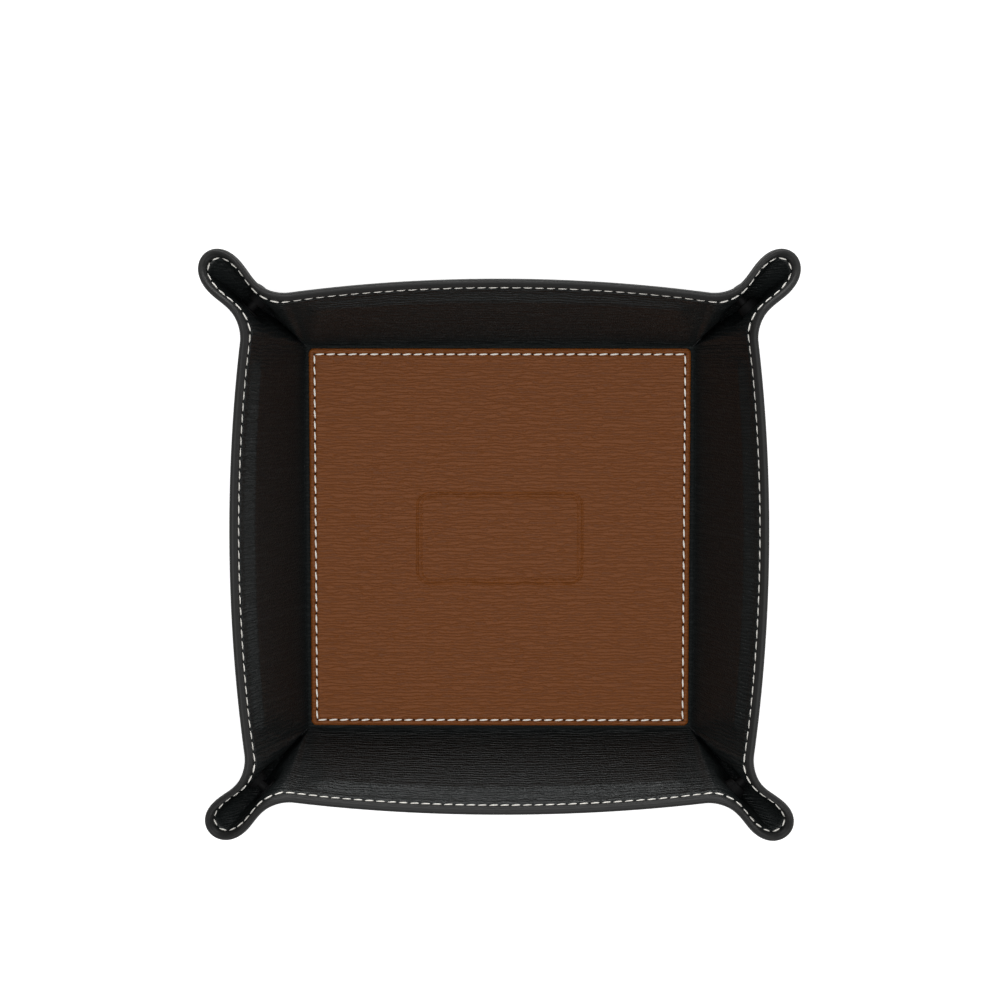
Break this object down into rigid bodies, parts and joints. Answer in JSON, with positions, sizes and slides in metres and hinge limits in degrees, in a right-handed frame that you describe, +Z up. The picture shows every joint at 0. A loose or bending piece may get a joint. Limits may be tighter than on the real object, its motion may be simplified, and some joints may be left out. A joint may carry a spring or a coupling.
{
  "type": "valet tray",
  "caption": "Square catch-all tray of lined black leather over boards, with a tan floor panel, leaning walls and pinched corner ears held by press studs that open to lower the walls.",
  "frame": {"origin": "centre of the flat underside", "axes": "+Z up, +Y towards the back wall, +X towards the right wall"},
  "size_m": [0.2, 0.2, 0.0413],
  "materials": {
    "outer_leather": "black grained leather, satin",
    "lining_leather": "black leather with fine wavy grain, satin",
    "tan_leather": "tan leather with fine wavy grain, satin",
    "board": "grey pressed board, hidden between the leathers",
    "stud_metal": "black coated press stud, semi gloss"
  },
  "bodies": {
    "base": {"base_skin": "outer_leather", "floor_board": "board", "floor_lining": "lining_leather", "tan_panel": "tan_leather"},
    "wall_right": {"wall_right_skin": "outer_leather", "wall_right_board": "board", "wall_right_lining": "lining_leather"},
    "wall_back": {"wall_back_skin": "outer_leather", "wall_back_board": "board", "wall_back_lining": "lining_leather"},
    "wall_left": {"wall_left_skin": "outer_leather", "wall_left_board": "board", "wall_left_lining": "lining_leather"},
    "wall_front": {"wall_front_skin": "outer_leather", "wall_front_board": "board", "wall_front_lining": "lining_leather"},
    "leaf_right_back": {"leaf_right_back_skin": "outer_leather", "leaf_right_back_lining": "lining_leather", "snap_cap_back_right": "stud_metal", "snap_socket_back_right": "stud_metal"},
    "leaf_back_right": {"leaf_back_right_skin": "outer_leather", "leaf_back_right_lining": "lining_leather", "snap_post_back_right": "stud_metal", "snap_stud_back_right": "stud_metal"},
    "fold_right_back": {"fold_right_back": "lining_leather"},
    "fold_back_right": {"fold_back_right": "lining_leather"},
    "leaf_back_left": {"leaf_back_left_skin": "outer_leather", "leaf_back_left_lining": "lining_leather", "snap_cap_back_left": "stud_metal", "snap_socket_back_left": "stud_metal"},
    "leaf_left_back": {"leaf_left_back_skin": "outer_leather", "leaf_left_back_lining": "lining_leather", "snap_post_back_left": "stud_metal", "snap_stud_back_left": "stud_metal"},
    "fold_back_left": {"fold_back_left": "lining_leather"},
    "fold_left_back": {"fold_left_back": "lining_leather"},
    "leaf_left_front": {"leaf_left_front_skin": "outer_leather", "leaf_left_front_lining": "lining_leather", "snap_cap_front_left": "stud_metal", "snap_socket_front_left": "stud_metal"},
    "leaf_front_left": {"leaf_front_left_skin": "outer_leather", "leaf_front_left_lining": "lining_leather", "snap_post_front_left": "stud_metal", "snap_stud_front_left": "stud_metal"},
    "fold_left_front": {"fold_left_front": "lining_leather"},
    "fold_front_left": {"fold_front_left": "lining_leather"},
    "leaf_front_right": {"leaf_front_right_skin": "outer_leather", "leaf_front_right_lining": "lining_leather", "snap_cap_front_right": "stud_metal", "snap_socket_front_right": "stud_metal"},
    "leaf_right_front": {"leaf_right_front_skin": "outer_leather", "leaf_right_front_lining": "lining_leather", "snap_post_front_right": "stud_metal", "snap_stud_front_right": "stud_metal"},
    "fold_front_right": {"fold_front_right": "lining_leather"},
    "fold_right_front": {"fold_right_front": "lining_leather"}
  },
  "joints": [
    {"name": "wall_right_crease", "type": "hinge", "parent": "base", "child": "wall_right", "pos_m": [0.0689, 0, 0], "axis": [0, 1, 0], "range_deg": [0, 30]},
    {"name": "wall_back_crease", "type": "hinge", "parent": "base", "child": "wall_back", "pos_m": [0, 0.0689, 0], "axis": [-1, 0, 0], "range_deg": [0, 30]},
    {"name": "wall_left_crease", "type": "hinge", "parent": "base", "child": "wall_left", "pos_m": [-0.0689, 0, 0], "axis": [0, -1, 0], "range_deg": [0, 30]},
    {"name": "wall_front_crease", "type": "hinge", "parent": "base", "child": "wall_front", "pos_m": [0, -0.0689, 0], "axis": [1, 0, 0], "range_deg": [0, 30]},
    {"name": "leaf_right_back_bend", "type": "hinge", "parent": "wall_right", "child": "leaf_right_back", "pos_m": [0.0689, 0.0689, 0], "axis": [0.3827, 0, 0.9239], "range_deg": [0, 26.09]},
    {"name": "leaf_back_right_bend", "type": "hinge", "parent": "wall_back", "child": "leaf_back_right", "pos_m": [0.0689, 0.0689, 0], "axis": [0, -0.3827, -0.9239], "range_deg": [0, 26.09]},
    {"name": "fold_right_back_bend", "type": "hinge", "parent": "leaf_right_back", "child": "fold_right_back", "pos_m": [0.0689, 0.0689, 0], "axis": [-0.6006, -0.4798, -0.6396], "range_deg": [0, 38.47]},
    {"name": "fold_back_right_bend", "type": "hinge", "parent": "leaf_back_right", "child": "fold_back_right", "pos_m": [0.0689, 0.0689, 0], "axis": [0.4798, 0.6006, 0.6396], "range_deg": [0, 38.47]},
    {"name": "leaf_back_left_bend", "type": "hinge", "parent": "wall_back", "child": "leaf_back_left", "pos_m": [-0.0689, 0.0689, 0], "axis": [0, 0.3827, 0.9239], "range_deg": [0, 26.09]},
    {"name": "leaf_left_back_bend", "type": "hinge", "parent": "wall_left", "child": "leaf_left_back", "pos_m": [-0.0689, 0.0689, 0], "axis": [0.3827, 0, -0.9239], "range_deg": [0, 26.09]},
    {"name": "fold_back_left_bend", "type": "hinge", "parent": "leaf_back_left", "child": "fold_back_left", "pos_m": [-0.0689, 0.0689, 0], "axis": [0.4798, -0.6006, -0.6396], "range_deg": [0, 38.47]},
    {"name": "fold_left_back_bend", "type": "hinge", "parent": "leaf_left_back", "child": "fold_left_back", "pos_m": [-0.0689, 0.0689, 0], "axis": [-0.6006, 0.4798, 0.6396], "range_deg": [0, 38.47]},
    {"name": "leaf_left_front_bend", "type": "hinge", "parent": "wall_left", "child": "leaf_left_front", "pos_m": [-0.0689, -0.0689, 0], "axis": [-0.3827, 0, 0.9239], "range_deg": [0, 26.09]},
    {"name": "leaf_front_left_bend", "type": "hinge", "parent": "wall_front", "child": "leaf_front_left", "pos_m": [-0.0689, -0.0689, 0], "axis": [0, 0.3827, -0.9239], "range_deg": [0, 26.09]},
    {"name": "fold_left_front_bend", "type": "hinge", "parent": "leaf_left_front", "child": "fold_left_front", "pos_m": [-0.0689, -0.0689, 0], "axis": [0.6006, 0.4798, -0.6396], "range_deg": [0, 38.47]},
    {"name": "fold_front_left_bend", "type": "hinge", "parent": "leaf_front_left", "child": "fold_front_left", "pos_m": [-0.0689, -0.0689, 0], "axis": [-0.4798, -0.6006, 0.6396], "range_deg": [0, 38.47]},
    {"name": "leaf_front_right_bend", "type": "hinge", "parent": "wall_front", "child": "leaf_front_right", "pos_m": [0.0689, -0.0689, 0], "axis": [0, -0.3827, 0.9239], "range_deg": [0, 26.09]},
    {"name": "leaf_right_front_bend", "type": "hinge", "parent": "wall_right", "child": "leaf_right_front", "pos_m": [0.0689, -0.0689, 0], "axis": [-0.3827, 0, -0.9239], "range_deg": [0, 26.09]},
    {"name": "fold_front_right_bend", "type": "hinge", "parent": "leaf_front_right", "child": "fold_front_right", "pos_m": [0.0689, -0.0689, 0], "axis": [-0.4798, 0.6006, -0.6396], "range_deg": [0, 38.47]},
    {"name": "fold_right_front_bend", "type": "hinge", "parent": "leaf_right_front", "child": "fold_right_front", "pos_m": [0.0689, -0.0689, 0], "axis": [0.6006, -0.4798, 0.6396], "range_deg": [0, 38.47]}
  ],
  "couplings": [
    {"joint": "wall_right_crease", "follows": "wall_front_crease", "ratio": 1},
    {"joint": "wall_back_crease", "follows": "wall_front_crease", "ratio": 1},
    {"joint": "wall_left_crease", "follows": "wall_front_crease", "ratio": 1},
    {"joint": "leaf_right_back_bend", "follows": "wall_front_crease", "ratio": 0.8695},
    {"joint": "leaf_back_right_bend", "follows": "wall_front_crease", "ratio": 0.8695},
    {"joint": "fold_right_back_bend", "follows": "wall_front_crease", "ratio": 1.2823},
    {"joint": "fold_back_right_bend", "follows": "wall_front_crease", "ratio": 1.2823},
    {"joint": "leaf_back_left_bend", "follows": "wall_front_crease", "ratio": 0.8695},
    {"joint": "leaf_left_back_bend", "follows": "wall_front_crease", "ratio": 0.8695},
    {"joint": "fold_back_left_bend", "follows": "wall_front_crease", "ratio": 1.2823},
    {"joint": "fold_left_back_bend", "follows": "wall_front_crease", "ratio": 1.2823},
    {"joint": "leaf_left_front_bend", "follows": "wall_front_crease", "ratio": 0.8695},
    {"joint": "leaf_front_left_bend", "follows": "wall_front_crease", "ratio": 0.8695},
    {"joint": "fold_left_front_bend", "follows": "wall_front_crease", "ratio": 1.2823},
    {"joint": "fold_front_left_bend", "follows": "wall_front_crease", "ratio": 1.2823},
    {"joint": "leaf_front_right_bend", "follows": "wall_front_crease", "ratio": 0.8695},
    {"joint": "leaf_right_front_bend", "follows": "wall_front_crease", "ratio": 0.8695},
    {"joint": "fold_front_right_bend", "follows": "wall_front_crease", "ratio": 1.2823},
    {"joint": "fold_right_front_bend", "follows": "wall_front_crease", "ratio": 1.2823}
  ]
}
